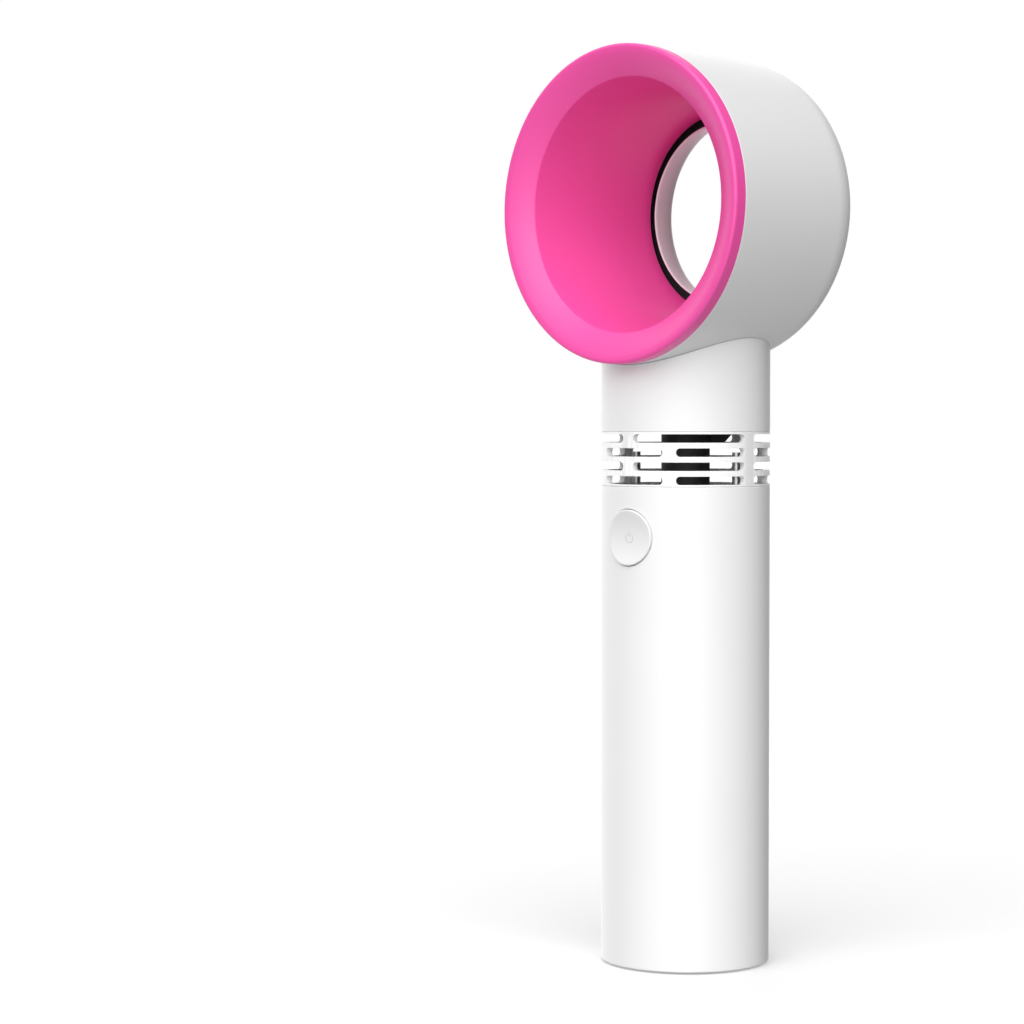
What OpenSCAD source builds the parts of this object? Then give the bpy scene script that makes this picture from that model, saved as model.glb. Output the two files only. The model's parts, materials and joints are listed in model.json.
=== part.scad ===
// Bladeless handheld fan: a ring head on a round battery handle.
// Millimetres. +Z runs up the handle axis, -Y is the front, where the air leaves.
// The origin is where the handle axis meets the surface that the fan stands on.

/* [Handle] */
// Outer diameter of the handle, the intake grille and the neck
handle_d = 39.6; // [39.4:0.1:40.4]
// Wall thickness of the mouldings
wall = 1.8; // [1.6:0.1:1.8]
// Height of the seam between the handle and the intake grille
seam_z = 112.1; // [112.1:0.1:113.6]

/* [Head] */
// Height of the head's axis
head_z = 176.9; // [176.9:0.1:180]
// Outer radius of the head at its front
ring_r = 36.6; // [36.4:0.1:37.6]
// Thickness of the front ring's rim, along the air
rim_t = 3.5; // [3:0.1:4]
// Distance from the handle axis to the seam behind the front ring
front_y = 20.9; // [20.7:0.1:21.5]
// Distance from the handle axis to the back of the head
back_y = 21.8; // [21.6:0.1:22.4]
// Radius of the hole at its narrowest
throat_r = 20.9; // [20:0.1:21.4]

/* [Intake grille] */
// Height of one slot
slot_h = 1.95; // [1.5:0.05:2.1]
// Distance between the slot rows
slot_pitch = 3.23; // [3:0.01:3.23]
// Width of a rib between two slots
rib_w = 3.1; // [2.9:0.1:3.4]

/* [Power button] */
// Diameter of the button's cap
button_d = 13; // [12:0.1:13.2]
// Height of the button's centre
button_z = 100.4; // [99:0.1:100.6]
// Distance that the button travels inwards
button_travel = 0.4; // [0.25:0.05:0.5]

/* [Charging port] */
// Height of the port's centre
port_z = 101.4; // [100:0.1:101.6]

/* [Drive] */
// Diameter of the motor's can
can_d = 10; // [9.6:0.1:10.2]
// Radius of the impeller's blade tips
tip_r = 16.3; // [15.5:0.1:16.5]
// Number of impeller blades
blades = 7; // [5:1:9]
// Number of diffuser vanes
vanes = 5; // [3:1:7]

/* [Battery] */
// Diameter of the cell
cell_d = 18.4; // [18:0.1:18.6]
// Length of the cell with its terminal
cell_len = 65.2; // [64:0.1:65.4]

/* [Hidden] */
$fn = 96;

// Handle and neck
handle_r = handle_d / 2;
bore_r = handle_r - wall;
foot_gap = 0.5;
slot_rows = 4;
slot_edge = 0.52;
grille_t = 1.46;
column_r = 14.2;
grille_screw_x = 15.8;
lug_r = 13.6;
lug_h = 1.9;
lug_w = 4.4;
grille_screw_len = 12;
grille_h = 2 * slot_edge + slot_h + (slot_rows - 1) * slot_pitch;
neck_z = seam_z + grille_h;
spigot_r = bore_r - 1.2;
lower_spigot = 2.2;
upper_spigot = 2.65;
lug_z = seam_z - lower_spigot - lug_h;
ledge_z = head_z - ring_r - 0.8;
neck_reach = 3.8;
row_ribs = [[0, 59, 121, 180, 239, 301], [0, 90, 180, 270]];

// Head
barrel_drop = 0.9;
corner_y = back_y - 9.5;
corner_len = back_y - corner_y;
corner_depth = 6.5;
corner_r = ring_r - barrel_drop - corner_depth;
lip_flare = 4.9;
lip_len = 9.25;
lip_tip = 0.35;
lip_front_y = back_y - lip_len - lip_tip;
lap_len = 2.4;
lap_t = 1.4;
snap_h = 0.4;
rim_round = 1.2;
face_in_r = ring_r - 7.3;
face_bulge = 0.35;
funnel_t = 1.5;
nozzle_y = back_y - 7.9;
nozzle_r = throat_r + 2.9;
funnel_front_y = -front_y - 0.1;

// Base
cap_floor = 1.6;
cap_floor_t = 1.8;
cap_top = 9;
skirt_t = 1.6;
base_screw_x = 13;
screw_r = 1;
screw_head_r = 1.9;
screw_head_h = 1.2;
socket_r = 0.75;
socket_depth = 0.6;
base_screw_len = 10;
thread_clear = 0.1;

// Battery cradle
deck_z = cap_top;
deck_t = 2.2;
deck_r = bore_r - 0.3;
tab_t = 0.4;
cell_z = deck_z + deck_t + tab_t;
cell_top = cell_z + cell_len;
terminal_h = 0.8;
roof_z = cell_top + tab_t;
roof_t = 2;
trough_t = 1.5;
lead_r = 0.6;
lead_gap = 0.02;
lead_x = 2;
pos_lead_y = -8;
neg_lead_y = -12.4;
post_x = 11;
post_depth = 5;
post_top = 93;
board_screw_z = 90;

// Control board
board_back_y = -1.25;
board_t = 1.6;
board_front_y = board_back_y - board_t;
board_w = 34;
board_z = 84;
board_top = port_z + 3.8;

// Charging port
usb_w = 7.5;
usb_h = 2.45;
usb_len = 5;
usb_wall = 0.3;
usb_mouth_x = -18.9;
bezel_w = 9.5;
bezel_h = 4.1;
bezel_cut = 1.15;
bezel_gap = 0.2;
bezel_flange = 0.8;

// Button and switch
button_gap = 0.2;
button_proud = 0.5;
dish_r = 18;
dish_depth = 1.05;
flange_y = -(bore_r - 2.1);
flange_t = 1;
flange_over = 1;
stem_r = 2;
switch_w = 6;
switch_h = 3.5;
switch_front_y = board_front_y - switch_h;
plunger_r = 1.7;
plunger_y = -12.4;
plunger_seat = 0.4;
plunger_back_y = switch_front_y + plunger_seat;

// Motor, measured up from the handle's seam
can_r = can_d / 2;
can_t = 0.5;
can_z = seam_z - 3.6;
can_top = seam_z + 15.2;
end_cap_z = can_z - 1;
terminal_x = 3.25;
sleeve_r = can_r + 0.7;
shaft_r = 0.75;
shaft_fit = 0.03;
shaft_z = end_cap_z - 0.4;
shaft_top = seam_z + 23.2;
bearing_r = 1.6;
magnet_t = 1;
magnet_z = can_z + 5.2;
magnet_h = 10.6;
core_r = 3.1;
core_z = can_z + 6;
core_h = 8.4;
brush_x = 1.95;
commutator_r = 1.6;
mount_z = neck_z + upper_spigot;
mount_ring_t = 1.8;
hub_r = sleeve_r + 1.3;
arm_w = 2.6;
deep_arm = 57;
arm_turns = [0, 105, 225];
duct_z = mount_z + mount_ring_t;
duct_r = tip_r + 0.7;
wheel_z = duct_z + 0.8;
wheel_h = 5.8;
wheel_hub_r = 5.6;
blade_t = 0.8;
vane_z = wheel_z + wheel_h + 0.7;
vane_h = ledge_z - vane_z;

// ---------- shared shapes ----------

// A ring about the Z axis
module tube(outer, inner, z0, z1) {
    translate([0, 0, z0])
        difference() {
            cylinder(r = outer, h = z1 - z0);
            translate([0, 0, -1]) cylinder(r = inner, h = z1 - z0 + 2);
        }
}

// A cylinder along +Y between two Y values
module rod_y(r, x, z, y0, y1) {
    translate([x, y0, z]) rotate([-90, 0, 0]) cylinder(r = r, h = y1 - y0);
}

// A box given by its two corners
module block(lo, hi) {
    translate(lo) cube(hi - lo);
}

// A profile of [radius, y] points turned about the head's axis
module head_turn(points) {
    translate([0, 0, head_z]) rotate([-90, 0, 0]) rotate_extrude() polygon(points);
}

// A screw pointing up, with its head below the seat
module screw_up(x, seat_z, length) {
    translate([x, 0, seat_z]) cylinder(r = screw_r, h = length, $fn = 32);
    translate([x, 0, seat_z - screw_head_h])
        difference() {
            cylinder(r = screw_head_r, h = screw_head_h, $fn = 48);
            translate([0, 0, -1]) cylinder(r = socket_r, h = 1 + socket_depth, $fn = 6);
        }
}

// Outline of the charging port: square-cornered at the back, cut off at the front
module port_outline(w, h, cut) {
    corner = 0.35;
    polygon([
        [-w / 2, h / 2 - corner], [-w / 2 + corner, h / 2], [w / 2 - corner, h / 2], [w / 2, h / 2 - corner],
        [w / 2, -h / 2 + cut], [w / 2 - cut, -h / 2], [-w / 2 + cut, -h / 2], [-w / 2, -h / 2 + cut]
    ]);
}

// The port's outline as a solid along X
module port_solid(w, h, cut, x0, x1) {
    translate([x0, 0, port_z]) rotate([0, 90, 0]) linear_extrude(x1 - x0) port_outline(w, h, cut);
}

// A wire of round section swept along a smoothed route
function norm_of(v) = v / norm(v);
function route_point(p, i, t) =
    let (a = p[max(i - 1, 0)], b = p[i], c = p[i + 1], d = p[min(i + 2, len(p) - 1)])
    0.5 * ((2 * b) + (c - a) * t + (2 * a - 5 * b + 4 * c - d) * t * t + (3 * b - a - 3 * c + d) * t * t * t);
function smooth_route(p, steps) =
    concat([for (i = [0:len(p) - 2]) for (k = [0:steps - 1]) route_point(p, i, k / steps)], [p[len(p) - 1]]);
function heading(q, i) = norm_of(q[min(i + 1, len(q) - 1)] - q[max(i - 1, 0)]);

module wire(points, r, side, steps = 4, sides = 8) {
    q = smooth_route(points, steps);
    n = len(q);
    rings = [
        for (i = [0:n - 1])
            let (t = heading(q, i), u = norm_of(cross(t, side)), v = cross(t, u))
            for (k = [0:sides - 1]) q[i] + r * (cos(360 * k / sides) * u + sin(360 * k / sides) * v)
    ];
    walls = [
        for (i = [0:n - 2]) for (k = [0:sides - 1])
            let (a = i * sides + k, b = i * sides + (k + 1) % sides)
            each [[a, b, b + sides], [a, b + sides, a + sides]]
    ];
    ends = [[for (k = [0:sides - 1]) sides - 1 - k], [for (k = [0:sides - 1]) (n - 1) * sides + k]];
    polyhedron(points = rings, faces = concat(walls, ends));
}

// ---------- head ----------

function barrel_r(y) = ring_r - barrel_drop * pow((y + front_y) / (corner_y + front_y), 2);
function barrel_points(inset) =
    [for (k = [0:8]) let (y = -front_y + (corner_y + front_y) * k / 8) [barrel_r(y) - inset, y]];
function corner_points(inset) =
    [for (t = [80:-10:0]) [
        corner_r + (corner_depth - inset) * sin(t),
        corner_y + (corner_len - inset) * cos(t)
    ]];
function reversed(list) = [for (i = [len(list) - 1:-1:0]) list[i]];

// Everything inside the outer skin of the head
module head_solid() {
    head_turn(concat([[0, -front_y]], barrel_points(0), corner_points(0), [[0, back_y]]));
}

module head_shell() {
    rear_lip = [for (t = [0:10:90]) [
        throat_r + lip_flare * (1 - sin(t)),
        back_y - lip_len * (1 - cos(t))
    ]];
    lip_end = [
        [throat_r + lip_tip, lip_front_y],
        [throat_r + 2 * lip_tip, lip_front_y + lip_tip], [throat_r + 1.1, lip_front_y + 2.4],
        [throat_r + 2.2, back_y - wall - 1.4], [throat_r + 3.4, back_y - wall - 0.3],
        [throat_r + 4.9, back_y - wall]
    ];
    color("gainsboro")
        difference() {
            head_turn(concat(
                barrel_points(0), corner_points(0), rear_lip, lip_end,
                reversed(corner_points(wall)), reversed(barrel_points(wall))
            ));
            // Opening for the neck's spigot
            translate([0, 0, head_z - ring_r - 5]) cylinder(r = bore_r, h = 14);
            // Groove for the front ring's snaps
            head_turn([
                [ring_r - wall - 1, -front_y + 0.9], [ring_r - wall + snap_h + 0.1, -front_y + 0.9],
                [ring_r - wall + snap_h + 0.1, -front_y + 1.9], [ring_r - wall - 1, -front_y + 1.9]
            ]);
        }
}

module flow_ring() {
    lap_r = ring_r - wall;
    rim_front_y = -front_y - rim_t;
    rim = [for (t = [0:15:90]) [
        ring_r - rim_round * (1 - sin(t)),
        rim_front_y + rim_round * (1 - cos(t))
    ]];
    face = [for (k = [0:6]) [
        face_in_r + (ring_r - rim_round - face_in_r) * k / 6,
        funnel_front_y + (rim_front_y - funnel_front_y) * k / 6 - face_bulge * sin(180 * k / 6)
    ]];
    back = [
        [ring_r, -front_y], [lap_r, -front_y], [lap_r, -front_y + lap_len],
        [lap_r - lap_t, -front_y + lap_len], [lap_r - lap_t, -front_y + 0.3],
        [face_in_r + funnel_t + 0.4, -front_y + 1.3]
    ];
    nozzle = [
        [nozzle_r + funnel_t, nozzle_y - 0.7], [nozzle_r + funnel_t - 0.5, nozzle_y - 0.15],
        [nozzle_r + 0.7, nozzle_y], [nozzle_r + 0.15, nozzle_y - 0.2], [nozzle_r, nozzle_y - 0.7]
    ];
    snap = [
        [lap_r - 0.3, -front_y + 1], [lap_r, -front_y + 1],
        [lap_r + snap_h, -front_y + 1.6], [lap_r + snap_h, -front_y + 1.8], [lap_r - 0.3, -front_y + 1.8]
    ];
    color("hotpink") {
        head_turn(concat(rim, back, nozzle, face));
        // Four snaps on the lap joint
        for (a = [39, 129, 219, 309])
            translate([0, 0, head_z]) rotate([-90, 0, 0]) rotate([0, 0, a])
                rotate_extrude(angle = 12) polygon(snap);
    }
}

// ---------- neck, grille and handle ----------

module neck_tube() {
    color("whitesmoke") {
        difference() {
            translate([0, 0, neck_z]) cylinder(r = handle_r, h = head_z - ring_r + 12 - neck_z);
            translate([0, 0, neck_z - 1]) cylinder(r = bore_r, h = 60);
            head_solid();
        }
        // Spigot that goes up into the head, and the ledge that stops the diffuser
        difference() {
            tube(bore_r, spigot_r - 0.2, ledge_z, ledge_z + 14);
            translate([0, -60, head_z]) rotate([-90, 0, 0]) cylinder(r = ring_r - neck_reach, h = 120);
        }
        tube(bore_r + 0.2, spigot_r - 0.2, ledge_z, ledge_z + 0.6);
    }
}

// One rib between two slots, with hollow sides that round the slots' ends
module rib(z) {
    half = slot_h / 2;
    side = concat(
        [[rib_w / 2 + half, -half - 0.4]],
        [for (t = [-90:15:90]) [rib_w / 2 + half * (1 - cos(t)), half * sin(t)]],
        [[rib_w / 2 + half, half + 0.4]]
    );
    mirrored = [for (i = [len(side) - 1:-1:0]) [-side[i][0], side[i][1]]];
    translate([bore_r - 1, 0, z]) rotate([90, 0, 90]) linear_extrude(5) polygon(concat(side, mirrored));
}

// An upright plate, given as [radius, z] points, standing across the X axis
module fin(width, points) {
    translate([0, width / 2, 0]) rotate([90, 0, 0]) linear_extrude(width) polygon(points);
}

module intake_grille() {
    low = seam_z - lower_spigot;
    high = neck_z + upper_spigot;
    inner_r = handle_r - grille_t;
    color("white")
        difference() {
            union() {
                rotate_extrude()
                    polygon([
                        [handle_r, seam_z], [handle_r, neck_z], [bore_r, neck_z], [bore_r, high],
                        [spigot_r, high], [spigot_r, neck_z - slot_edge], [inner_r, neck_z - slot_edge],
                        [inner_r, seam_z + slot_edge], [spigot_r, seam_z + slot_edge], [spigot_r, low],
                        [bore_r, low], [bore_r, seam_z]
                    ]);
                // Screw columns, hidden behind the side ribs
                for (s = [0, 180])
                    rotate([0, 0, s])
                        fin(rib_w - 0.6, [
                            [column_r, low], [bore_r - 0.5, low], [bore_r - 0.5, seam_z + 0.25],
                            [handle_r - 1, seam_z + 0.25], [handle_r - 1, neck_z - 0.25],
                            [bore_r - 0.5, neck_z - 0.25], [bore_r - 0.5, high], [column_r, high]
                        ]);
            }
            for (row = [0:slot_rows - 1]) {
                z = seam_z + slot_edge + slot_h / 2 + row * slot_pitch;
                difference() {
                    tube(handle_r + 1, bore_r - 0.2, z - slot_h / 2, z + slot_h / 2);
                    for (a = row_ribs[row % 2]) rotate([0, 0, a]) rib(z);
                }
            }
            for (x = [-grille_screw_x, grille_screw_x])
                translate([x, 0, low - 1]) cylinder(r = screw_r, h = grille_screw_len - lug_h + 2, $fn = 32);
        }
}

module handle_tube() {
    color("white")
        difference() {
            union() {
                tube(handle_r, bore_r, foot_gap, seam_z);
                // Two lugs for the grille's screws
                for (s = [0, 180])
                    rotate([0, 0, s])
                        block([lug_r, -lug_w / 2, lug_z], [bore_r + 0.4, lug_w / 2, lug_z + lug_h]);
            }
            for (x = [-grille_screw_x, grille_screw_x])
                translate([x, 0, lug_z - 1]) cylinder(r = screw_r + thread_clear, h = 6, $fn = 32);
            rod_y(button_d / 2 + button_gap, 0, button_z, -handle_r - 2, -10);
            port_solid(bezel_w, bezel_h, bezel_cut, -handle_r - 2, -14);
        }
}

module base_cap() {
    color("white")
        difference() {
            tube(bore_r, 0, foot_gap, cap_top);
            translate([0, 0, -1]) cylinder(r = bore_r - skirt_t, h = 1 + cap_floor);
            translate([0, 0, cap_floor + cap_floor_t]) cylinder(r = bore_r - skirt_t, h = 20);
            for (x = [-base_screw_x, base_screw_x])
                translate([x, 0, 0]) {
                    cylinder(r = screw_head_r + 0.2, h = cap_floor + screw_head_h);
                    cylinder(r = screw_r + thread_clear, h = 6, $fn = 32);
                }
        }
}

module base_pad() {
    color("dimgray") cylinder(r = bore_r - skirt_t, h = cap_floor);
}

module base_screws() {
    color("silver")
        for (x = [-base_screw_x, base_screw_x]) screw_up(x, cap_floor + screw_head_h, base_screw_len);
}

module grille_screws() {
    color("silver")
        for (x = [-grille_screw_x, grille_screw_x]) screw_up(x, lug_z, grille_screw_len);
}

module port_bezel() {
    face_x = -handle_r + 0.3;
    color("black")
        difference() {
            union() {
                port_solid(bezel_w, bezel_h, bezel_cut, face_x, -bore_r + 0.4);
                port_solid(
                    bezel_w + bezel_flange, bezel_h + bezel_flange, 1.3, -bore_r + 0.25, -bore_r + 0.9
                );
            }
            port_solid(usb_w + 2 * bezel_gap, usb_h + 2 * bezel_gap, 0.9, face_x - 1, -bore_r + 2);
        }
}

// ---------- battery ----------

module battery_cradle() {
    trough_r = cell_d / 2 + 0.2;
    color("darkgray")
        difference() {
            union() {
                translate([0, 0, deck_z]) cylinder(r = deck_r, h = deck_t);
                translate([0, 0, roof_z]) cylinder(r = deck_r, h = roof_t);
                tube(trough_r + trough_t, trough_r, deck_z + deck_t - 0.1, roof_z + 0.1);
                // Bosses for the base screws
                for (x = [-base_screw_x, base_screw_x])
                    translate([x, 0, cap_floor + cap_floor_t])
                        cylinder(r = 2.4, h = deck_z + deck_t - cap_floor - cap_floor_t);
                // Posts behind the control board
                for (x = [-post_x, post_x])
                    block(
                        [x - 2.2, board_back_y, roof_z + roof_t - 0.1],
                        [x + 2.2, board_back_y + post_depth, post_top]
                    );
            }
            // The cell drops in from the front
            block([-30, -30, deck_z + deck_t], [30, -3, roof_z]);
            for (x = [-base_screw_x, base_screw_x])
                translate([x, 0, 0])
                    cylinder(r = screw_r, h = cap_floor + screw_head_h + base_screw_len + 0.4, $fn = 32);
            for (x = [-post_x, post_x])
                rod_y(screw_r, x, board_screw_z, board_back_y - 1, board_back_y + 4);
            // Slot for the leads
            block(
                [-lead_x - 1.5, neg_lead_y - 1.5, roof_z - 1],
                [lead_x + 1.5, pos_lead_y + 1.5, roof_z + 5]
            );
        }
}

module battery_cell() {
    color("steelblue") {
        translate([0, 0, cell_z]) cylinder(d = cell_d, h = cell_len - terminal_h);
        translate([0, 0, cell_z]) cylinder(r = 3, h = cell_len);
    }
}

module battery_insulator() {
    color("white") tube(8.2, 3.6, cell_top - terminal_h, cell_top - terminal_h + 0.3);
}

module battery_tab_top() {
    color("silver") block([-3, pos_lead_y - 1, cell_top], [3, 3, cell_top + tab_t]);
}

module battery_tab_bottom() {
    color("silver") block([-3, neg_lead_y - 1, deck_z + deck_t], [3, 3, deck_z + deck_t + tab_t]);
}

module battery_lead_red() {
    color("red")
        wire([
            [-lead_x, pos_lead_y, roof_z], [-lead_x, pos_lead_y, roof_z + 3], [-3, -7.6, 83],
            [-5, -6.4, 85.6], [-6, -4.6, 86.6], [-6, board_front_y - lead_gap, 86.6]
        ], lead_r, [1, 0.2, 0]);
}

module battery_lead_black() {
    color("dimgray")
        wire([
            [lead_x, neg_lead_y, cell_z], [lead_x, neg_lead_y, 24], [lead_x, neg_lead_y, 40],
            [lead_x, neg_lead_y, 56], [lead_x, neg_lead_y, 70], [lead_x, neg_lead_y, roof_z + 3],
            [4, -9, 85], [6, -5, 87], [6, board_front_y - lead_gap, 87]
        ], lead_r, [1, 0.2, 0]);
}

// ---------- electronics ----------

module control_board() {
    color("green")
        difference() {
            block([-board_w / 2, board_front_y, board_z], [board_w / 2, board_back_y, board_top]);
            for (x = [-post_x, post_x])
                rod_y(screw_r + thread_clear, x, board_screw_z, board_front_y - 1, board_back_y + 1);
        }
}

module board_screws() {
    color("silver")
        for (x = [-post_x, post_x]) {
            rod_y(screw_r, x, board_screw_z, board_front_y, board_back_y + 3.6);
            difference() {
                rod_y(screw_head_r, x, board_screw_z, board_front_y - screw_head_h, board_front_y);
                translate([x, board_front_y - screw_head_h - 1, board_screw_z]) rotate([-90, 0, 0])
                    cylinder(r = socket_r, h = 1 + socket_depth, $fn = 6);
            }
        }
}

// Chips and coils: x, z, width, height and thickness, on the front and on the back
module board_components() {
    front = [[-12.5, 97, 4, 5, 1.6], [12, 97.5, 5, 5, 2.4], [10.5, 102.2, 3, 1.6, 1], [0, 87, 3.2, 1.8, 1.1]];
    back = [[0, 92, 5, 4, 1.5], [6.5, 98, 6, 6, 3], [-6, 100, 2.4, 1.4, 1], [6, 86.5, 3.2, 1.8, 1.1]];
    color("dimgray") {
        for (c = front)
            block(
                [c[0] - c[2] / 2, board_front_y - c[4], c[1] - c[3] / 2],
                [c[0] + c[2] / 2, board_front_y, c[1] + c[3] / 2]
            );
        for (c = back)
            block(
                [c[0] - c[2] / 2, board_back_y, c[1] - c[3] / 2],
                [c[0] + c[2] / 2, board_back_y + c[4], c[1] + c[3] / 2]
            );
    }
}

module usb_shell() {
    inner_w = usb_w - 2 * usb_wall;
    inner_h = usb_h - 2 * usb_wall;
    color("silver")
        difference() {
            port_solid(usb_w, usb_h, 0.8, usb_mouth_x, usb_mouth_x + usb_len);
            port_solid(inner_w, inner_h, 0.7, usb_mouth_x - 1, usb_mouth_x + usb_len - usb_wall);
        }
}

module usb_tongue() {
    back_x = usb_mouth_x + usb_len - usb_wall;
    color("white") block([usb_mouth_x + 0.5, 0.1, port_z - 1.9], [back_x, 0.7, port_z + 1.9]);
}

module switch_body() {
    half = switch_w / 2;
    color("black")
        difference() {
            block([-half, switch_front_y, button_z - half], [half, board_front_y, button_z + half]);
            rod_y(plunger_r + 0.1, 0, button_z, switch_front_y - 1, plunger_back_y + button_travel + 0.2);
        }
}

module switch_plunger() {
    color("white") rod_y(plunger_r, 0, button_z, plunger_y, plunger_back_y);
}

module power_button() {
    color("white") {
        difference() {
            intersection() {
                translate([0, 0, button_z - 20]) cylinder(r = handle_r + button_proud, h = 40);
                rod_y(button_d / 2, 0, button_z, -handle_r - 2, flange_y);
            }
            // Shallow hollow for the thumb
            translate([-20, -(handle_r + button_proud - dish_depth) - dish_r, button_z])
                rotate([0, 90, 0]) cylinder(r = dish_r, h = 40);
        }
        rod_y(button_d / 2 + flange_over, 0, button_z, flange_y, flange_y + flange_t);
        rod_y(stem_r, 0, button_z, flange_y + flange_t, plunger_y);
    }
}

// ---------- motor ----------

module motor_lead_red() {
    color("red")
        wire([
            [terminal_x, 0.8, end_cap_z - 0.8], [terminal_x, 2.2, end_cap_z - 1.2],
            [terminal_x, 3, end_cap_z - 2.8],
            [terminal_x, 1.6, end_cap_z - 4.2], [terminal_x, board_back_y, end_cap_z - 4.4]
        ], 0.5, [1, 0, 0]);
}

module motor_lead_black() {
    color("dimgray")
        wire([
            [-terminal_x, 0.8, end_cap_z - 0.8], [-terminal_x, 2.2, end_cap_z - 1.2],
            [-terminal_x, 3, end_cap_z - 2.8],
            [-terminal_x, 1.6, end_cap_z - 4.2], [-terminal_x, board_back_y, end_cap_z - 4.4]
        ], 0.5, [1, 0, 0]);
}

module motor_can() {
    color("silver") {
        tube(can_r, can_r - can_t, can_z, can_top);
        tube(can_r, bearing_r, can_top - can_t, can_top);
    }
}

module motor_magnets() {
    color("dimgray")
        difference() {
            tube(can_r - can_t, can_r - can_t - magnet_t, magnet_z, magnet_z + magnet_h);
            block([-1, -20, magnet_z - 1], [1, 20, magnet_z + magnet_h + 1]);
        }
}

module motor_end_cap() {
    color("ivory") {
        tube(can_r, bearing_r, end_cap_z, can_z);
        tube(can_r - can_t, bearing_r, end_cap_z, can_z + 1.2);
    }
}

module motor_terminals() {
    color("gold")
        for (x = [-terminal_x, terminal_x])
            block([x - 0.25, -0.8, end_cap_z - 1.7], [x + 0.25, 0.8, end_cap_z]);
}

module motor_brushes() {
    color("goldenrod")
        for (s = [0, 180])
            rotate([0, 0, s])
                block([brush_x, -0.5, can_z + 1.2], [can_r - can_t - 0.3, 0.5, can_z + 4]);
}

module bearing_upper() {
    color("goldenrod") tube(bearing_r, shaft_r + shaft_fit, can_top - 1.2, can_top + 0.7);
}

module bearing_lower() {
    color("goldenrod") tube(bearing_r, shaft_r + shaft_fit, end_cap_z, can_z + 1.2);
}

module damper_sleeve() {
    color("black") tube(sleeve_r, can_r, can_z + 0.8, can_top - 0.4);
}

module motor_mount() {
    arm_z = neck_z + 0.3;
    arm_top = mount_z + 1;
    cup_z = neck_z - 0.3;
    deep_z = neck_z - 2.75;
    color("dimgray") {
        tube(bore_r, spigot_r, mount_z, duct_z);
        tube(hub_r, sleeve_r, cup_z, arm_top);
        for (a = arm_turns)
            rotate([0, 0, deep_arm + a])
                block([hub_r - 0.5, -arm_w / 2, arm_z], [spigot_r - 0.6, arm_w / 2, arm_top]);
        for (a = arm_turns)
            rotate([0, 0, deep_arm + a])
                block([spigot_r - 1.6, -arm_w / 2, mount_z], [bore_r - 0.5, arm_w / 2, arm_top]);
        // Gusset that carries the deep arm down beside the sleeve
        rotate([0, 0, deep_arm])
            fin(arm_w - 0.4, [
                [sleeve_r + 0.1, deep_z], [9, deep_z], [11.2, neck_z - 0.35],
                [14, arm_z + 0.1], [14, arm_top - 0.2], [hub_r - 0.5, arm_top - 0.2],
                [hub_r - 0.5, cup_z + 0.2], [sleeve_r + 0.1, cup_z + 0.2]
            ]);
    }
}

// ---------- impeller and diffuser ----------

// One blade: a plate leaning across the duct, cut to the tip and hub radii
module blade(z0, h, outer, inner, lean) {
    intersection() {
        tube(outer, inner, z0, z0 + h);
        translate([0, 0, z0 + h / 2]) rotate([lean, 0, 0])
            block([inner - 2, -blade_t / 2, -h], [outer + 2, blade_t / 2, h]);
    }
}

module diffuser() {
    color("lightgray") {
        tube(bore_r, duct_r, duct_z, ledge_z);
        translate([0, 0, vane_z]) cylinder(r = wheel_hub_r, h = vane_h);
        translate([0, 0, vane_z + vane_h]) cylinder(r1 = wheel_hub_r, r2 = 2.5, h = 3);
        for (k = [0:vanes - 1])
            rotate([0, 0, 360 * k / vanes])
                blade(vane_z, vane_h, duct_r + 0.3, wheel_hub_r - 0.4, 20);
    }
}

module impeller() {
    color("lightgray") {
        difference() {
            union() {
                translate([0, 0, wheel_z]) cylinder(r = wheel_hub_r, h = wheel_h - 1.4);
                translate([0, 0, wheel_z + wheel_h - 1.4])
                    cylinder(r1 = wheel_hub_r, r2 = wheel_hub_r - 1.6, h = 1.4);
            }
            translate([0, 0, wheel_z - 1]) cylinder(r = shaft_r, h = 20, $fn = 32);
            tube(wheel_hub_r - 1, 2, wheel_z - 1, wheel_z + wheel_h - 2.6);
        }
        for (k = [0:blades - 1])
            rotate([0, 0, 360 * k / blades])
                blade(wheel_z, wheel_h - 0.6, tip_r, wheel_hub_r - 0.4, -48);
    }
}

// ---------- rotor ----------

module motor_shaft() {
    color("silver") translate([0, 0, shaft_z]) cylinder(r = shaft_r, h = shaft_top - shaft_z, $fn = 32);
}

module armature_core() {
    pole_w = 2;
    color("slategray")
        difference() {
            union() {
                tube(1.9, shaft_r, core_z, core_z + core_h);
                intersection() {
                    tube(core_r, shaft_r, core_z, core_z + core_h);
                    for (a = [0, 120, 240])
                        rotate([0, 0, a]) {
                            block([1, -pole_w / 4, core_z], [core_r, pole_w / 4, core_z + core_h]);
                            block([core_r - 0.7, -pole_w, core_z], [core_r + 1, pole_w, core_z + core_h]);
                        }
                }
            }
            translate([0, 0, core_z - 1]) cylinder(r = shaft_r, h = core_h + 2, $fn = 32);
        }
}

module armature_windings() {
    color("chocolate") {
        tube(2.7, shaft_r, core_z - 0.9, core_z);
        tube(2.7, shaft_r, core_z + core_h, core_z + core_h + 0.9);
    }
}

module commutator() {
    color("goldenrod") tube(commutator_r, shaft_r, can_z + 2, can_z + 4.6);
}

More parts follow.
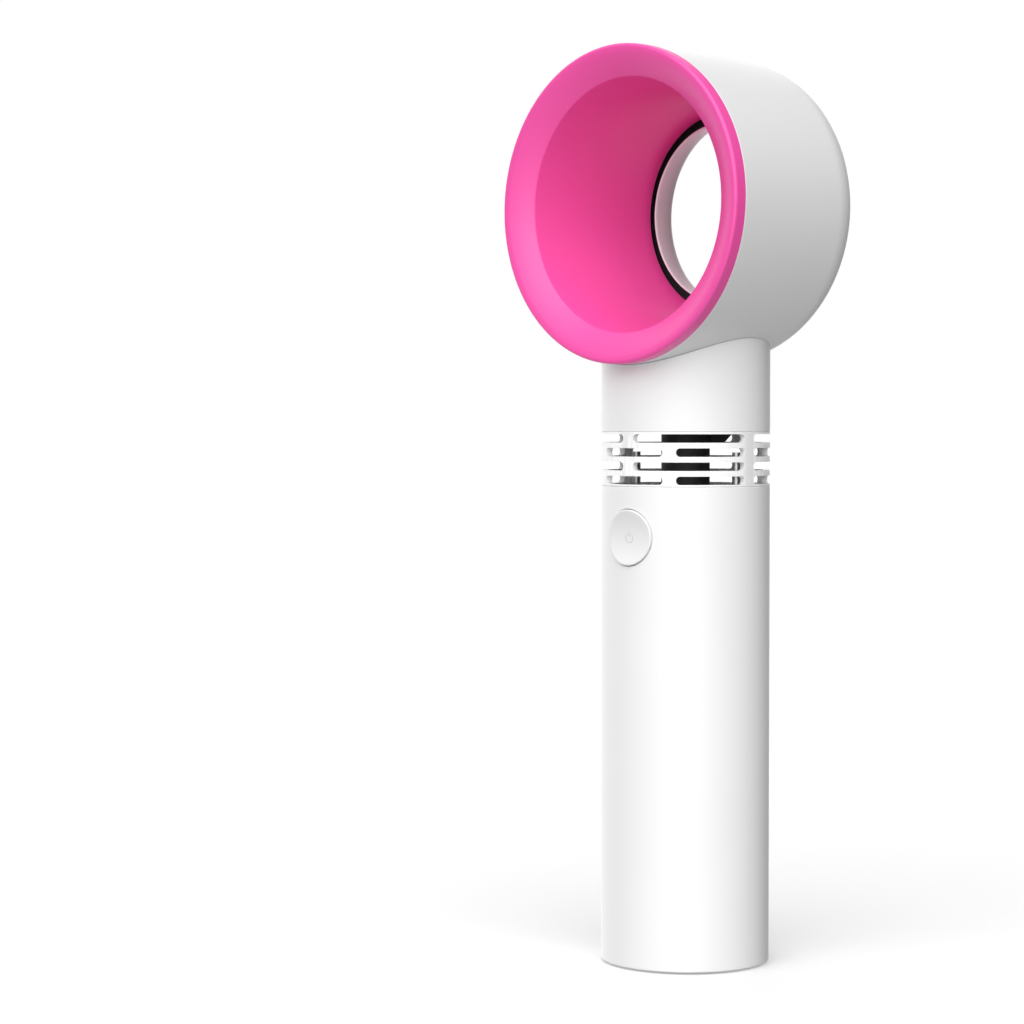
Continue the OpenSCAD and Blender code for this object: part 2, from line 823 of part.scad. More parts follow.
head_shell();
flow_ring();
neck_tube();
intake_grille();
handle_tube();
base_cap();
base_pad();
base_screws();
grille_screws();
port_bezel();
battery_cradle();
battery_cell();
battery_insulator();
battery_tab_top();
battery_tab_bottom();
battery_lead_red();
battery_lead_black();
control_board();
board_screws();
board_components();
usb_shell();
usb_tongue();
switch_body();
switch_plunger();
power_button();
motor_lead_red();
motor_lead_black();
motor_can();
motor_magnets();
motor_end_cap();
motor_terminals();
motor_brushes();
bearing_upper();
bearing_lower();
damper_sleeve();
motor_mount();
diffuser();
motor_shaft();
armature_core();
armature_windings();
commutator();
impeller();
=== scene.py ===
"""Looks for the bladeless handheld fan: fine meshes for what shows, and a material for every piece."""

import json
import math

import bmesh
import bpy
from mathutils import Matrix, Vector


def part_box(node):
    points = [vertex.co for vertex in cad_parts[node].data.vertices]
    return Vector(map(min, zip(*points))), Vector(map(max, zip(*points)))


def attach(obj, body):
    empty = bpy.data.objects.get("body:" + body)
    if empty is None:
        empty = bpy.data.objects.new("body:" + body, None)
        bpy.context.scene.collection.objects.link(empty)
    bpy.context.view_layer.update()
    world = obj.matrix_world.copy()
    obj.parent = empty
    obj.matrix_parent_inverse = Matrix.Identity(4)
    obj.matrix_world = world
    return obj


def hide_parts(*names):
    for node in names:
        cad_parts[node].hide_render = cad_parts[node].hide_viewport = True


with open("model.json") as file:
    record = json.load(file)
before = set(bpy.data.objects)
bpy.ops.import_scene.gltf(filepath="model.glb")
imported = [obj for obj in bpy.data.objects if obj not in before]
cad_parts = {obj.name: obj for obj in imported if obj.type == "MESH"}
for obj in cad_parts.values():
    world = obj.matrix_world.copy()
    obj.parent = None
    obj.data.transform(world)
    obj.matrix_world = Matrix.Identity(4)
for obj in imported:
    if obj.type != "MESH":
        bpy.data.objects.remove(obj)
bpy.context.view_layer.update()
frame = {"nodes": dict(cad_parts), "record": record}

MM = 0.001
SEGMENTS = 192


# ---------- sizes, from the frame ----------

def low(node):
    return [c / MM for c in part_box(node)[0]]


def high(node):
    return [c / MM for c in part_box(node)[1]]


HANDLE_R = high("handle_tube")[0]
BORE_R = high("base_cap")[0]
FOOT_Z = low("handle_tube")[2]
SEAM_Z = high("handle_tube")[2]
NECK_Z = low("neck_tube")[2]
GRILLE_LOW_Z = low("intake_grille")[2]
GRILLE_HIGH_Z = high("intake_grille")[2]
SPIGOT_WALL = 1.2
SPIGOT_R = BORE_R - SPIGOT_WALL
GRILLE_WALL = 1.46
GRILLE_R = HANDLE_R - GRILLE_WALL

RING_R = high("flow_ring")[0]
HEAD_Z = (low("flow_ring")[2] + high("flow_ring")[2]) / 2
RIM_Y = low("flow_ring")[1]
FRONT_Y = low("head_shell")[1]
BACK_Y = high("head_shell")[1]
NOZZLE_Y = high("flow_ring")[1]
THROAT_R = 20.9
NOZZLE_R = THROAT_R + 2.9
SHELL_T = HANDLE_R - BORE_R
LAP_R = RING_R - SHELL_T
LAP_DEPTH = 2.4
SNAP_WALL = 1.4
CREASE_R = RING_R - 7.3
CREASE_Y = FRONT_Y - 0.1
FACE_BULGE = 0.35
RIM_ROUND = 1.2
BARREL_DROP = 0.9
CORNER_Y = BACK_Y - 9.5
CORNER_LEN = 9.5
CORNER_DEPTH = 6.5
CORNER_R = RING_R - BARREL_DROP - CORNER_DEPTH
LIP_FLARE = 4.9
LIP_LEN = 9.25
LIP_Y = BACK_Y - LIP_LEN
DUCT_R = RING_R - 6.6
DUCT_Y = LIP_Y + 1.5

BUTTON_R = 6.5
BUTTON_GAP = 0.2
BUTTON_Z = (low("power_button")[2] + high("power_button")[2]) / 2
BUTTON_FACE_R = -low("power_button")[1]
BUTTON_BACK_Y = high("power_button")[1]
BUTTON_FLANGE_R = 7.5
BUTTON_FLANGE_Y = (-15.9, -14.9)
BUTTON_SKIRT_Y = -17
BUTTON_STEM_R = 2
DISH_R = 18
DISH_Y = 1.05

PORT_Z = (low("usb_shell")[2] + high("usb_shell")[2]) / 2
PORT_W = 9.5
PORT_H = 4.1
PORT_CORNER = 1.15

SLOT_H = 1.95
SLOT_PITCH = 3.23
SLOT_EDGE = 0.52
RIB_W = 3.1
ROW_RIBS = [[0, 59, 121, 180, 239, 301], [0, 90, 180, 270]]


# Where each soft light comes from, the cosine at which it has faded out, and its strength
WORLD_LIGHTS = {
    "ceiling": ((0, 0, 1), 0.2, 0.15),
    "from_below": ((0, 0, -1), 0.0, 0.6),
    "key": ((0.46, -0.53, 0.71), 0.5, 2.6),
    "side_fill": ((0.66, -0.75, 0), 0.7, 0.6),
    "front_fill": ((0.19, -0.97, 0.17), 0.7, 0.25),
    "rim": ((-0.93, 0.32, 0.17), 0.4, 1.5),
}


# ---------- materials ----------

def plastic(name, colour, roughness, grain=0.0, grain_size=0.25, mottle=0.02, coat=0.0):
    """Moulded plastic: a satin skin with fine spark-erosion grain and a faint drift in tone and gloss."""
    m = bpy.data.materials.new(name)
    m.use_nodes = True
    nodes, links = m.node_tree.nodes, m.node_tree.links
    shader = nodes["Principled BSDF"]
    shader.inputs["Coat Weight"].default_value = coat
    shader.inputs["Coat Roughness"].default_value = 0.12
    place = nodes.new("ShaderNodeTexCoord")

    drift = nodes.new("ShaderNodeTexNoise")
    drift.inputs["Scale"].default_value = 45
    drift.inputs["Detail"].default_value = 3
    links.new(place.outputs["Object"], drift.inputs["Vector"])

    tone = nodes.new("ShaderNodeMix")
    tone.data_type = "RGBA"
    tone.inputs["A"].default_value = (*[c * (1 - mottle) for c in colour], 1)
    tone.inputs["B"].default_value = (*[min(1, c * (1 + mottle)) for c in colour], 1)
    links.new(drift.outputs["Fac"], tone.inputs["Factor"])
    links.new(tone.outputs["Result"], shader.inputs["Base Color"])

    gloss = nodes.new("ShaderNodeMapRange")
    gloss.inputs["To Min"].default_value = roughness - 0.04
    gloss.inputs["To Max"].default_value = roughness + 0.04
    links.new(drift.outputs["Fac"], gloss.inputs["Value"])
    links.new(gloss.outputs["Result"], shader.inputs["Roughness"])

    skin = nodes.new("ShaderNodeTexNoise")
    skin.inputs["Scale"].default_value = 1 / (grain_size * MM)
    skin.inputs["Detail"].default_value = 2
    links.new(place.outputs["Object"], skin.inputs["Vector"])
    bump = nodes.new("ShaderNodeBump")
    bump.inputs["Strength"].default_value = grain
    bump.inputs["Distance"].default_value = 0.02 * MM
    links.new(skin.outputs["Fac"], bump.inputs["Height"])
    links.new(bump.outputs["Normal"], shader.inputs["Normal"])
    return m


def metal(name, colour, roughness, stretch=(1, 1, 12)):
    """Drawn or turned metal: fine lines stretched along one axis."""
    m = plastic(name, colour, roughness, grain=0.25, grain_size=0.4, mottle=0.06)
    shader = m.node_tree.nodes["Principled BSDF"]
    shader.inputs["Metallic"].default_value = 1
    mapping = m.node_tree.nodes.new("ShaderNodeMapping")
    mapping.inputs["Scale"].default_value = (1 / stretch[0], 1 / stretch[1], 1 / stretch[2])
    place = next(n for n in m.node_tree.nodes if n.bl_idname == "ShaderNodeTexCoord")
    m.node_tree.links.new(place.outputs["Object"], mapping.inputs["Vector"])
    for n in m.node_tree.nodes:
        if n.bl_idname == "ShaderNodeTexNoise":
            m.node_tree.links.new(mapping.outputs["Vector"], n.inputs["Vector"])
    return m


LOOKS = {
    # painted shade: the head's white is set darker than the body's white so that the head's barrel reads as
    # shaded
    "head_white": plastic("head_white", (0.82, 0.82, 0.825), 0.34, grain=0.25),
    "body_white": plastic("body_white", (0.90, 0.90, 0.905), 0.30, grain=0.2),
    "pink_plastic": plastic("pink_plastic", (0.93, 0.095, 0.41), 0.36, grain=0.2, mottle=0.03),
    "button_white": plastic("button_white", (0.86, 0.86, 0.87), 0.32, grain=0.2),
    "rubber_grey": plastic("rubber_grey", (0.09, 0.09, 0.10), 0.75, grain=0.6, grain_size=0.4),
    "sleeve_black": plastic("sleeve_black", (0.018, 0.018, 0.02), 0.6, grain=0.5, grain_size=0.4),
    "screw_steel": metal("screw_steel", (0.60, 0.60, 0.62), 0.3),
    "port_black": plastic("port_black", (0.012, 0.012, 0.014), 0.45, grain=0.3),
    "cradle_grey": plastic("cradle_grey", (0.30, 0.31, 0.33), 0.5, grain=0.4),
    "mount_dark": plastic("mount_dark", (0.014, 0.014, 0.016), 0.5, grain=0.4),
    "duct_white": plastic("duct_white", (0.72, 0.72, 0.73), 0.4, grain=0.3),
    "cell_wrap": plastic("cell_wrap", (0.03, 0.20, 0.52), 0.28, grain=0.1, coat=0.3),
    "insulator_white": plastic("insulator_white", (0.78, 0.78, 0.74), 0.8, grain=0.5),
    "nickel_strip": metal("nickel_strip", (0.66, 0.65, 0.60), 0.32),
    "wire_red": plastic("wire_red", (0.52, 0.02, 0.02), 0.4, grain=0.2),
    "wire_black": plastic("wire_black", (0.02, 0.02, 0.02), 0.4, grain=0.2),
    "board_green": plastic("board_green", (0.01, 0.14, 0.05), 0.35, grain=0.6, grain_size=0.6, mottle=0.15),
    "chip_black": plastic("chip_black", (0.025, 0.025, 0.027), 0.55, grain=0.4),
    "usb_steel": metal("usb_steel", (0.80, 0.80, 0.81), 0.25),
    "tongue_white": plastic("tongue_white", (0.85, 0.85, 0.84), 0.45, grain=0.2),
    "plunger_white": plastic("plunger_white", (0.80, 0.80, 0.78), 0.45, grain=0.2),
    "motor_steel": metal("motor_steel", (0.62, 0.62, 0.63), 0.3),
    "magnet_grey": plastic("magnet_grey", (0.09, 0.09, 0.10), 0.6, grain=0.5),
    "end_cap_ivory": plastic("end_cap_ivory", (0.80, 0.77, 0.66), 0.5, grain=0.3),
    "contact_brass": metal("contact_brass", (0.78, 0.58, 0.27), 0.3),
    "bush_bronze": metal("bush_bronze", (0.60, 0.40, 0.20), 0.45),
    "core_steel": metal("core_steel", (0.36, 0.37, 0.39), 0.4),
    "winding_copper": metal("winding_copper", (0.72, 0.30, 0.13), 0.35, stretch=(1, 1, 0.3)),
    # painted shade: a dark matt material for the inside of the head's air duct, standing in for the deep
    # shade in there
    "duct_painted_shade": plastic("duct_painted_shade", (0.10, 0.09, 0.095), 0.7, grain=0.3),
}
SLOT_OF = {s["node"]: s["material_slot"] for s in frame["record"]["subparts"]}


def dress(obj, slot):
    obj.data.materials.clear()
    obj.data.materials.append(LOOKS[slot])


# ---------- mesh helpers, in millimetres ----------

def closed_object(name, verts, faces):
    """An object with a closed mesh, its faces turned outwards."""
    mesh = bpy.data.meshes.new(name)
    mesh.from_pydata([[c * MM for c in v] for v in verts], [], faces)
    mesh.validate()
    bm = bmesh.new()
    bm.from_mesh(mesh)
    bmesh.ops.recalc_face_normals(bm, faces=bm.faces)
    bm.to_mesh(mesh)
    bm.free()
    obj = bpy.data.objects.new(name, mesh)
    bpy.context.scene.collection.objects.link(obj)
    return obj


def piece(name, verts, faces, node, slot=None, body="housing"):
    """A visible piece, which rides on its body, takes its slot's finish and may stand for a CAD node."""
    obj = closed_object(name, verts, faces)
    obj.data.polygons.foreach_set("use_smooth", [True] * len(obj.data.polygons))
    slot = slot or SLOT_OF[node]
    dress(obj, slot)
    if node:
        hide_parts(node)
    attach(obj, body)
    return obj


def filleted(points, steps=5):
    """Rounds the corners of a closed outline that have a radius. A point is (a, b) or (a, b, radius)."""
    out = []
    n = len(points)
    for i, p in enumerate(points):
        if len(p) < 3 or p[2] <= 0:
            out.append(p[:2])
            continue
        c = Vector(p[:2])
        to_prev = Vector(points[i - 1][:2]) - c
        to_next = Vector(points[(i + 1) % n][:2]) - c
        a, b = to_prev.normalized(), to_next.normalized()
        half = a.angle(b) / 2
        reach = min(p[2] / math.tan(half), 0.49 * to_prev.length, 0.49 * to_next.length)
        radius = reach * math.tan(half)
        centre = c + (a + b).normalized() * (radius / math.sin(half))
        start, end = c + a * reach - centre, c + b * reach - centre
        turn = start.angle_signed(end)
        for k in range(steps + 1):
            t = -turn * k / steps
            out.append((
                centre.x + start.x * math.cos(t) - start.y * math.sin(t),
                centre.y + start.x * math.sin(t) + start.y * math.cos(t),
            ))
    return out


def turned(profile, point, segments=SEGMENTS):
    """Vertices and faces of a closed outline swept round an axis; point(r, h, angle) places each one."""
    n = len(profile)
    verts = [point(r, h, 2 * math.pi * s / segments) for s in range(segments) for r, h in profile]
    faces = []
    for s in range(segments):
        a, b = s * n, (s + 1) % segments * n
        faces += [(a + i, a + (i + 1) % n, b + (i + 1) % n, b + i) for i in range(n)]
    return verts, faces


def about_handle(r, z, angle):
    return (r * math.cos(angle), r * math.sin(angle), z)


def about_head(r, y, angle):
    return (r * math.sin(angle), y, HEAD_Z + r * math.cos(angle))


def even_normals(obj):
    m = obj.modifiers.new("normals", "WEIGHTED_NORMAL")
    m.keep_sharp = True
    m.weight = 80


def cut(obj, verts, faces, name):
    """Cuts a closed mesh out of obj and applies the result."""
    cutter = closed_object(name, verts, faces)
    mesh = cutter.data
    m = obj.modifiers.new("cut", "BOOLEAN")
    m.operation = "DIFFERENCE"
    m.solver = "EXACT"
    m.object = cutter
    bake(obj)
    bpy.data.objects.remove(cutter)
    bpy.data.meshes.remove(mesh)


def bake(obj):
    """Applies every modifier on obj to its mesh."""
    dg = bpy.context.evaluated_depsgraph_get()
    done = bpy.data.meshes.new_from_object(obj.evaluated_get(dg))
    obj.modifiers.clear()
    old = obj.data
    obj.data = done
    bpy.data.meshes.remove(old)


def soften(obj, width, angle=40, segments=2):
    """A small round on every edge sharper than angle."""
    m = obj.modifiers.new("round", "BEVEL")
    m.limit_method = "ANGLE"
    m.angle_limit = math.radians(angle)
    m.width = width * MM
    m.segments = segments


# ---------- head ----------

def barrel_r(y):
    return RING_R - BARREL_DROP * ((y - FRONT_Y) / (CORNER_Y - FRONT_Y)) ** 2


def shell_r(y):
    """Outer radius of the head at y, with its rounded back corner."""
    if y <= CORNER_Y:
        return barrel_r(y)
    u = min(1, (y - CORNER_Y) / CORNER_LEN)
    return CORNER_R + CORNER_DEPTH * math.sqrt(1 - u * u)


def corner(inset, steps=16):
    return [(
        CORNER_R + (CORNER_DEPTH - inset) * math.cos(t),
        CORNER_Y + (CORNER_LEN - inset) * math.sin(t),
    ) for t in [math.pi / 2 * k / steps for k in range(1, steps + 1)]]


def barrel(inset, steps=12):
    ys = [FRONT_Y + (CORNER_Y - FRONT_Y) * k / steps for k in range(1, steps + 1)]
    return [(barrel_r(y) - inset, y) for y in ys]


def paint_duct_shade(shell):
    """Paints shade onto the faces that look towards the middle of the air duct: they take a dark matt
    material standing in for the shade inside the duct.
    """
    shell.data.materials.append(LOOKS["duct_painted_shade"])
    for face in shell.data.polygons:
        x, y, z = [c / MM for c in face.center]
        r = math.hypot(x, z - HEAD_Z)
        outward = (face.normal.x * x + face.normal.z * (z - HEAD_Z)) / r
        # painted shade: faces turned into the duct take the dark second material
        if outward * (DUCT_R - r) + face.normal.y * (DUCT_Y - y) > 0:
            face.material_index = 1


def make_head_shell():
    """The outline runs over the barrel and the back, down the lip's bell mouth, and back inside."""
    outside = [(RING_R, FRONT_Y, 0.18)] + barrel(0) + corner(0)
    steps = 24
    lip = [(
        THROAT_R + LIP_FLARE * (1 - math.sin(t)),
        BACK_Y - LIP_LEN * (1 - math.cos(t)),
    ) for t in [math.pi / 2 * k / steps for k in range(steps + 1)]]
    lip += [
        (THROAT_R + 0.35, LIP_Y - 0.35, 0.3), (THROAT_R + 0.7, LIP_Y, 0.2), (THROAT_R + 1.1, LIP_Y + 2.05),
        (THROAT_R + 2.2, BACK_Y - SHELL_T - 1.4, 1.5), (THROAT_R + 4.9, BACK_Y - SHELL_T),
    ]
    inside = list(reversed(corner(SHELL_T))) + list(reversed(barrel(SHELL_T)))
    profile = filleted(outside + lip + inside + [(LAP_R, FRONT_Y, 0.1)], 6)
    shell = piece("head_shell_skin", *turned(profile, about_head), "head_shell")
    paint_duct_shade(shell)
    even_normals(shell)


def make_flow_ring():
    """The outline runs over the bulged face, back along the lap, and down the funnel's hidden side."""
    rim_in_r = RING_R - RIM_ROUND
    face = []
    steps = 12
    for k in range(steps + 1):
        f = k / steps
        bulge = FACE_BULGE * math.sin(math.pi * f)
        face.append((CREASE_R + (rim_in_r - CREASE_R) * f, CREASE_Y + (RIM_Y - CREASE_Y) * f - bulge))
    face[0] = (*face[0], 0.8)
    face[-1] = (RING_R, RIM_Y, RIM_ROUND)
    lap_y = FRONT_Y + LAP_DEPTH
    outline = face + [
        (RING_R, FRONT_Y, 0.18), (LAP_R, FRONT_Y), (LAP_R, lap_y), (LAP_R - SNAP_WALL, lap_y),
        (LAP_R - SNAP_WALL, FRONT_Y + 0.3), (CREASE_R + 1.9, FRONT_Y + 1.3),
        (NOZZLE_R + 1.5, NOZZLE_Y - 0.7, 0.3), (NOZZLE_R + 0.7, NOZZLE_Y, 0.35),
        (NOZZLE_R, NOZZLE_Y - 0.35, 0.2),
    ]
    ring = piece("flow_ring_skin", *turned(filleted(outline, 6), about_head), "flow_ring")
    even_normals(ring)


# ---------- neck, grille and handle ----------

def make_neck():
    """The tube's top edge follows the head's skin."""
    rows = [
        (HANDLE_R - 0.15, None, -0.06), (HANDLE_R - 0.04, None, -0.14), (HANDLE_R, None, -0.3),
        (HANDLE_R, NECK_Z + 0.2, 0), (HANDLE_R - 0.05, NECK_Z + 0.06, 0), (HANDLE_R - 0.2, NECK_Z, 0),
        (BORE_R, NECK_Z, 0), (BORE_R, None, -0.02),
    ]

    def place(r, row, angle):
        z, lift = rows[row][1:]
        x, y = r * math.cos(angle), r * math.sin(angle)
        if z is None:
            z = HEAD_Z - math.sqrt(shell_r(y) ** 2 - x * x) + lift
        return (x, y, z)

    profile = [(row[0], i) for i, row in enumerate(rows)]
    neck = piece("neck_skin", *turned(profile, place), "neck_tube")
    even_normals(neck)


def slot_cutters():
    """One closed mesh per slot: a band of the cylinder with round ends."""
    verts, faces = [], []
    r0, r1 = BORE_R - 0.2, HANDLE_R + 1
    half = SLOT_H / 2
    for row in range(4):
        z = SEAM_Z + SLOT_EDGE + half + row * SLOT_PITCH
        ribs = ROW_RIBS[row % 2]
        for i, start in enumerate(ribs):
            end = ribs[i + 1] if i + 1 < len(ribs) else 360
            u0 = math.radians(start) * HANDLE_R + RIB_W / 2
            u1 = math.radians(end) * HANDLE_R - RIB_W / 2
            ends = [half * (1 - math.cos(math.pi / 2 * k / 8)) for k in range(1, 9)]
            middle = max(4, round((u1 - u0 - SLOT_H) / 0.8))
            us = [u0 + e for e in ends]
            us += [u0 + half + (u1 - u0 - SLOT_H) * k / middle for k in range(1, middle)]
            us += [u1 - e for e in reversed(ends)]
            base = len(verts)
            for u in us:
                d = min(u - u0, u1 - u, half)
                h = math.sqrt(max(0, half ** 2 - (half - d) ** 2))
                a = u / HANDLE_R
                for r in (r0, r1):
                    for s in (-1, 1):
                        verts.append(about_handle(r, z + s * h, a))
            n = len(us)
            for k in range(n - 1):
                a, b = base + 4 * k, base + 4 * k + 4
                faces += [
                    (a, a + 1, b + 1, b), (a + 2, b + 2, b + 3, a + 3),
                    (a, b, b + 2, a + 2), (a + 1, a + 3, b + 3, b + 1),
                ]
            tail = base + 4 * (n - 1)
            faces += [(base, base + 2, base + 3, base + 1), (tail, tail + 1, tail + 3, tail + 2)]
    return verts, faces


def make_grille():
    top, bottom = NECK_Z, SEAM_Z
    profile = filleted([
        (HANDLE_R, bottom, 0.2), (HANDLE_R, top, 0.2), (BORE_R, top), (BORE_R, GRILLE_HIGH_Z, 0.2),
        (SPIGOT_R, GRILLE_HIGH_Z, 0.2), (SPIGOT_R, top - SLOT_EDGE), (GRILLE_R, top - SLOT_EDGE),
        (GRILLE_R, bottom + SLOT_EDGE), (SPIGOT_R, bottom + SLOT_EDGE), (SPIGOT_R, GRILLE_LOW_Z, 0.2),
        (BORE_R, GRILLE_LOW_Z, 0.2), (BORE_R, bottom),
    ], 3)
    grille = piece("grille_skin", *turned(profile, about_handle), "intake_grille")
    cut(grille, *slot_cutters(), "slots")
    soften(grille, 0.12)
    even_normals(grille)


def drum(r, y0, y1, x=0.0, z=0.0, segments=96):
    """A closed cylinder along Y."""
    verts = []
    for y in (y0, y1):
        for s in range(segments):
            t = 2 * math.pi * s / segments
            verts.append((x + r * math.cos(t), y, z + r * math.sin(t)))
    ring = list(range(segments))
    faces = [tuple(ring), tuple(s + segments for s in reversed(ring))]
    faces += [(s, (s + 1) % segments, segments + (s + 1) % segments, segments + s) for s in ring]
    return verts, faces


def port_prism(w, h, cut_off, x0, x1):
    """The port's outline between two X values."""
    outline = filleted([
        (-w / 2, h / 2, 0.9), (w / 2, h / 2, 0.9),
        (w / 2, -h / 2 + cut_off, 0.6), (w / 2 - cut_off, -h / 2, 0.6),
        (-w / 2 + cut_off, -h / 2, 0.6), (-w / 2, -h / 2 + cut_off, 0.6),
    ], 6)
    n = len(outline)
    verts = [(x, b, PORT_Z - a) for x in (x0, x1) for a, b in outline]
    faces = [tuple(range(n)), tuple(reversed(range(n, 2 * n)))]
    faces += [(i, (i + 1) % n, n + (i + 1) % n, n + i) for i in range(n)]
    return verts, faces


def make_handle():
    profile = filleted([
        (HANDLE_R, FOOT_Z, 0.3), (HANDLE_R, SEAM_Z, 0.2), (BORE_R, SEAM_Z), (BORE_R, FOOT_Z, 0.1)
    ], 4)
    handle = piece("handle_skin", *turned(profile, about_handle), "handle_tube")
    cut(handle, *drum(BUTTON_R + BUTTON_GAP, -HANDLE_R - 2, -BORE_R + 6, z=BUTTON_Z), "button_hole")
    cut(handle, *port_prism(PORT_W, PORT_H, PORT_CORNER, -HANDLE_R - 2, -BORE_R + 4), "port_hole")
    soften(handle, 0.12)
    even_normals(handle)


# ---------- button and port ----------

def button_y(x, z):
    """Front of the button at (x, z from its centre): the handle's curve, hollowed for the thumb."""
    rim = -math.sqrt(BUTTON_FACE_R ** 2 - x * x)
    dish = -(BUTTON_FACE_R - DISH_Y) - DISH_R + math.sqrt(DISH_R ** 2 - z * z)
    blend = 0.06
    return (rim + dish + math.sqrt((rim - dish) ** 2 + blend ** 2)) / 2


def make_button():
    """The hollow face and its rounded edge, then the skirt, the flange and the stem behind it."""
    spokes = 128
    turns = [2 * math.pi * s / spokes for s in range(spokes)]
    rows = [(BUTTON_R * f, 0) for f in [k / 30 for k in range(1, 30)]]
    rows += [(BUTTON_R - 0.08, 0.03), (BUTTON_R - 0.02, 0.1), (BUTTON_R, 0.22)]
    verts, faces = [(0, button_y(0, 0), BUTTON_Z)], []
    for r, sink in rows:
        for t in turns:
            x, z = r * math.cos(t), r * math.sin(t)
            verts.append((x, button_y(x, z) + sink, BUTTON_Z + z))
    flange_front, flange_back = BUTTON_FLANGE_Y
    steps = [
        (BUTTON_R, BUTTON_SKIRT_Y), (BUTTON_R, flange_front), (BUTTON_FLANGE_R, flange_front),
        (BUTTON_FLANGE_R, flange_back), (BUTTON_STEM_R, flange_back), (BUTTON_STEM_R, BUTTON_BACK_Y),
    ]
    for r, y in steps:
        verts += [(r * math.cos(t), y, BUTTON_Z + r * math.sin(t)) for t in turns]
    count = len(rows) + len(steps)
    faces += [(0, 1 + s, 1 + (s + 1) % spokes) for s in range(spokes)]
    for k in range(count - 1):
        a, b = 1 + k * spokes, 1 + (k + 1) * spokes
        faces += [(a + s, a + (s + 1) % spokes, b + (s + 1) % spokes, b + s) for s in range(spokes)]
    faces.append(tuple(1 + (count - 1) * spokes + s for s in range(spokes)))
    button = piece("power_button_cap", verts, faces, "power_button", body="button")
    even_normals(button)


def printed(name, pairs):
    """A thin mark on the button, along pairs of (x, z) points from its centre."""
    verts, faces = [], []
    for pair in pairs:
        for x, z in pair:
            for lift in (-0.015, 0.05):
                verts.append((x, button_y(x, z) + lift, BUTTON_Z + z))
    for k in range(0, 4 * (len(pairs) - 1), 4):
        faces += [
            (k, k + 4, k + 6, k + 2), (k + 1, k + 3, k + 7, k + 5),
            (k, k + 1, k + 5, k + 4), (k + 2, k + 6, k + 7, k + 3),
        ]
    end = 4 * (len(pairs) - 1)
    faces += [(0, 2, 3, 1), (end, end + 1, end + 3, end + 2)]
    piece(name, verts, faces, None, slot="duct_white", body="button")


def make_power_mark():
    """A plain power symbol: a broken ring and a bar."""
    inner, outer, bar_half_w = 0.95, 1.25, 0.15
    turns = [math.radians(35 + 290 * k / 48) for k in range(49)]
    printed("power_mark_ring", [(
        (inner * math.sin(t), inner * math.cos(t)),
        (outer * math.sin(t), outer * math.cos(t)),
    ) for t in turns])
    printed("power_mark_bar", [((-bar_half_w, z), (bar_half_w, z)) for z in (0.3, 0.6, 0.9, 1.2, 1.5)])


# ---------- build ----------

make_head_shell()
make_flow_ring()
make_neck()
make_grille()
make_handle()
make_button()
make_power_mark()

for name, obj in frame["nodes"].items():
    dress(obj, SLOT_OF[name])
for name in ("port_bezel", "usb_shell", "usb_tongue", "motor_mount", "damper_sleeve", "base_cap", "base_pad"):
    soften(frame["nodes"][name], 0.1)


# ---------- stage ----------

def make_floor():
    """A pale floor that takes the fan's shadow and throws no light back at it."""
    half = 8
    mesh = bpy.data.meshes.new("floor")
    corners = [(-half, -half, 0), (half, -half, 0), (half, half, 0), (-half, half, 0)]
    mesh.from_pydata(corners, [], [(0, 1, 2, 3)])
    floor = bpy.data.objects.new("floor", mesh)
    bpy.context.scene.collection.objects.link(floor)
    m = bpy.data.materials.new("floor_white")
    m.use_nodes = True
    shader = m.node_tree.nodes["Principled BSDF"]
    shader.inputs["Base Color"].default_value = (0.93, 0.93, 0.93, 1)
    shader.inputs["Roughness"].default_value = 0.6
    mesh.materials.append(m)
    floor.visible_diffuse = False
    floor.visible_glossy = False
    floor.visible_shadow = False


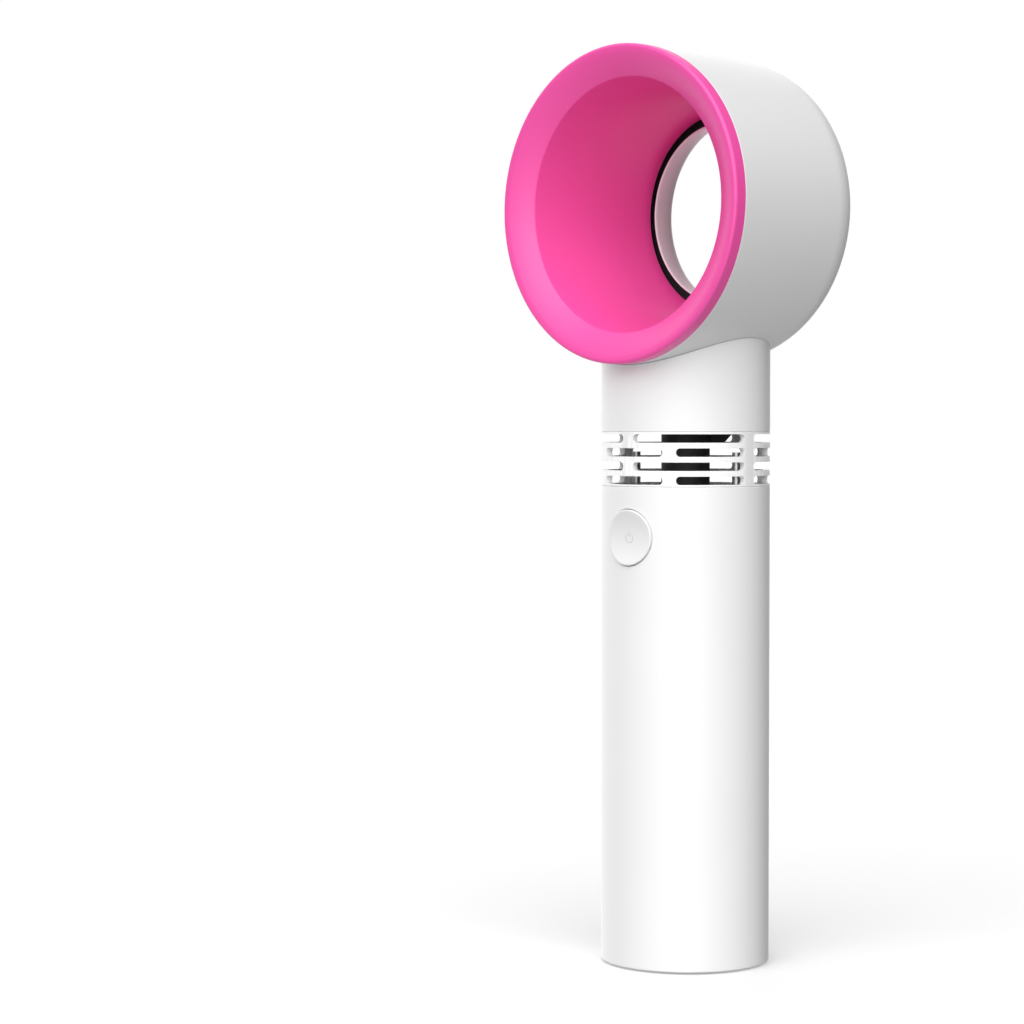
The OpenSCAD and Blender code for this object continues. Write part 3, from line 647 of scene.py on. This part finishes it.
def make_world():
    """The soft lights, and a plain white backdrop where the camera looks past the floor."""
    world = bpy.data.worlds.new("studio")
    bpy.context.scene.world = world
    world.use_nodes = True
    nodes, links = world.node_tree.nodes, world.node_tree.links
    place = nodes.new("ShaderNodeTexCoord")
    total = None
    for name, (direction, edge, strength) in WORLD_LIGHTS.items():
        dot = nodes.new("ShaderNodeVectorMath")
        dot.label = name
        dot.operation = "DOT_PRODUCT"
        dot.inputs[1].default_value = Vector(direction).normalized()
        links.new(place.outputs["Generated"], dot.inputs[0])
        ramp = nodes.new("ShaderNodeMapRange")
        ramp.interpolation_type = "SMOOTHSTEP"
        ramp.inputs["From Min"].default_value = edge
        ramp.inputs["To Max"].default_value = strength
        links.new(dot.outputs["Value"], ramp.inputs["Value"])
        if total is None:
            total = ramp.outputs["Result"]
        else:
            add = nodes.new("ShaderNodeMath")
            links.new(total, add.inputs[0])
            links.new(ramp.outputs["Result"], add.inputs[1])
            total = add.outputs["Value"]
    glow = nodes["Background"]
    glow.inputs["Color"].default_value = (1, 1, 1, 1)
    links.new(total, glow.inputs["Strength"])
    backdrop = nodes.new("ShaderNodeBackground")
    backdrop.inputs["Color"].default_value = (1, 1, 1, 1)
    ray = nodes.new("ShaderNodeLightPath")
    mix = nodes.new("ShaderNodeMixShader")
    links.new(ray.outputs["Is Camera Ray"], mix.inputs["Fac"])
    links.new(glow.outputs["Background"], mix.inputs[1])
    links.new(backdrop.outputs["Background"], mix.inputs[2])
    links.new(mix.outputs["Shader"], nodes["World Output"].inputs["Surface"])


def make_camera():
    """Stands in front and to the right, with the fan right of the middle of the frame."""
    azimuth, distance, height = math.radians(42), 0.6663, 0.12725
    aim_left, aim_down = math.radians(3.516), math.radians(1.842)
    data = bpy.data.cameras.new("camera")
    data.sensor_width = 36
    data.lens = 99.3
    cam = bpy.data.objects.new("camera", data)
    bpy.context.scene.collection.objects.link(cam)
    cam.location = (distance * math.sin(azimuth), -distance * math.cos(azimuth), height)
    heading = azimuth + aim_left
    look = Vector((
        -math.sin(heading) * math.cos(aim_down), math.cos(heading) * math.cos(aim_down), -math.sin(aim_down)
    ))
    cam.rotation_mode = "QUATERNION"
    cam.rotation_quaternion = look.to_track_quat("-Z", "Y")
    bpy.context.scene.camera = cam


make_floor()
make_world()
make_camera()
bpy.context.scene.view_settings.view_transform = "Standard"
